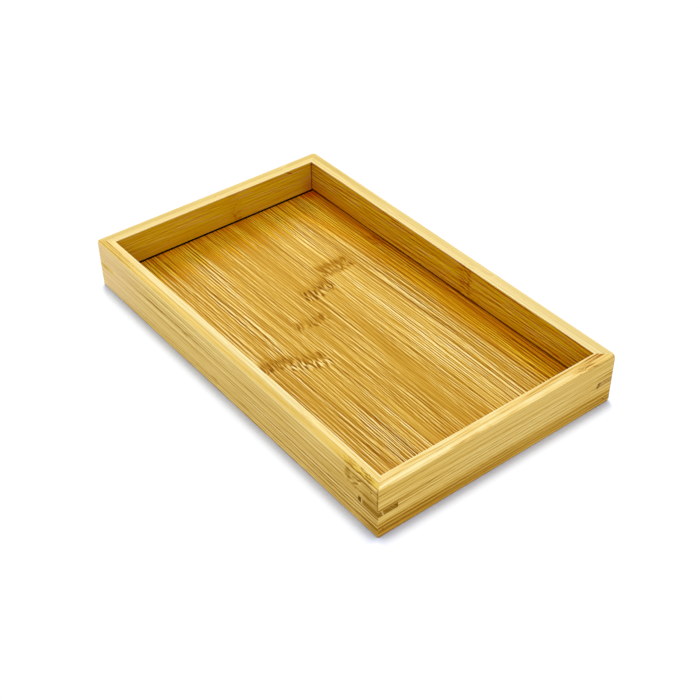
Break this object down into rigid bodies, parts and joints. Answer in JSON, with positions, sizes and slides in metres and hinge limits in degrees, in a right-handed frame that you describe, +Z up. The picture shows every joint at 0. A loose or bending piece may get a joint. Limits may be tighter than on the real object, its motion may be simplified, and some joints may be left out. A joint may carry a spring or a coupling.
{
  "type": "jewelry tray",
  "caption": "Shallow rectangular tray of laminated bamboo with mitred, keyed corners and a strip floor held in grooves, for jewelry and small things.",
  "frame": {"origin": "middle of the footprint, on the surface that the tray stands on", "axes": "+X along the long sides towards the right end, +Y along the short ends towards the back side, +Z up out of the open top"},
  "size_m": [0.25, 0.152, 0.03],
  "materials": {
    "outer_layer": "pale golden bamboo, sanded and clear-lacquered, satin",
    "inner_layer": "amber bamboo, clear-lacquered, satin",
    "floor": "golden bamboo strips with dark streaks and nodes, clear-lacquered, satin",
    "corner_key": "brown bamboo, end grain flush with the faces, satin"
  },
  "bodies": {
    "root": {"front_side_upper_strip": "outer_layer", "front_side_lower_strip": "outer_layer", "front_side_inner_layer": "inner_layer", "right_end_upper_strip": "outer_layer", "right_end_lower_strip": "outer_layer", "right_end_inner_layer": "inner_layer", "back_side_upper_strip": "outer_layer", "back_side_lower_strip": "outer_layer", "back_side_inner_layer": "inner_layer", "left_end_upper_strip": "outer_layer", "left_end_lower_strip": "outer_layer", "left_end_inner_layer": "inner_layer", "corner_key_front_left": "corner_key", "corner_key_front_right": "corner_key", "corner_key_back_right": "corner_key", "corner_key_back_left": "corner_key", "floor_strip_1": "floor", "floor_strip_2": "floor", "floor_strip_3": "floor", "floor_strip_4": "floor", "floor_strip_5": "floor", "floor_strip_6": "floor", "floor_strip_7": "floor", "floor_strip_8": "floor"}
  },
  "joints": []
}
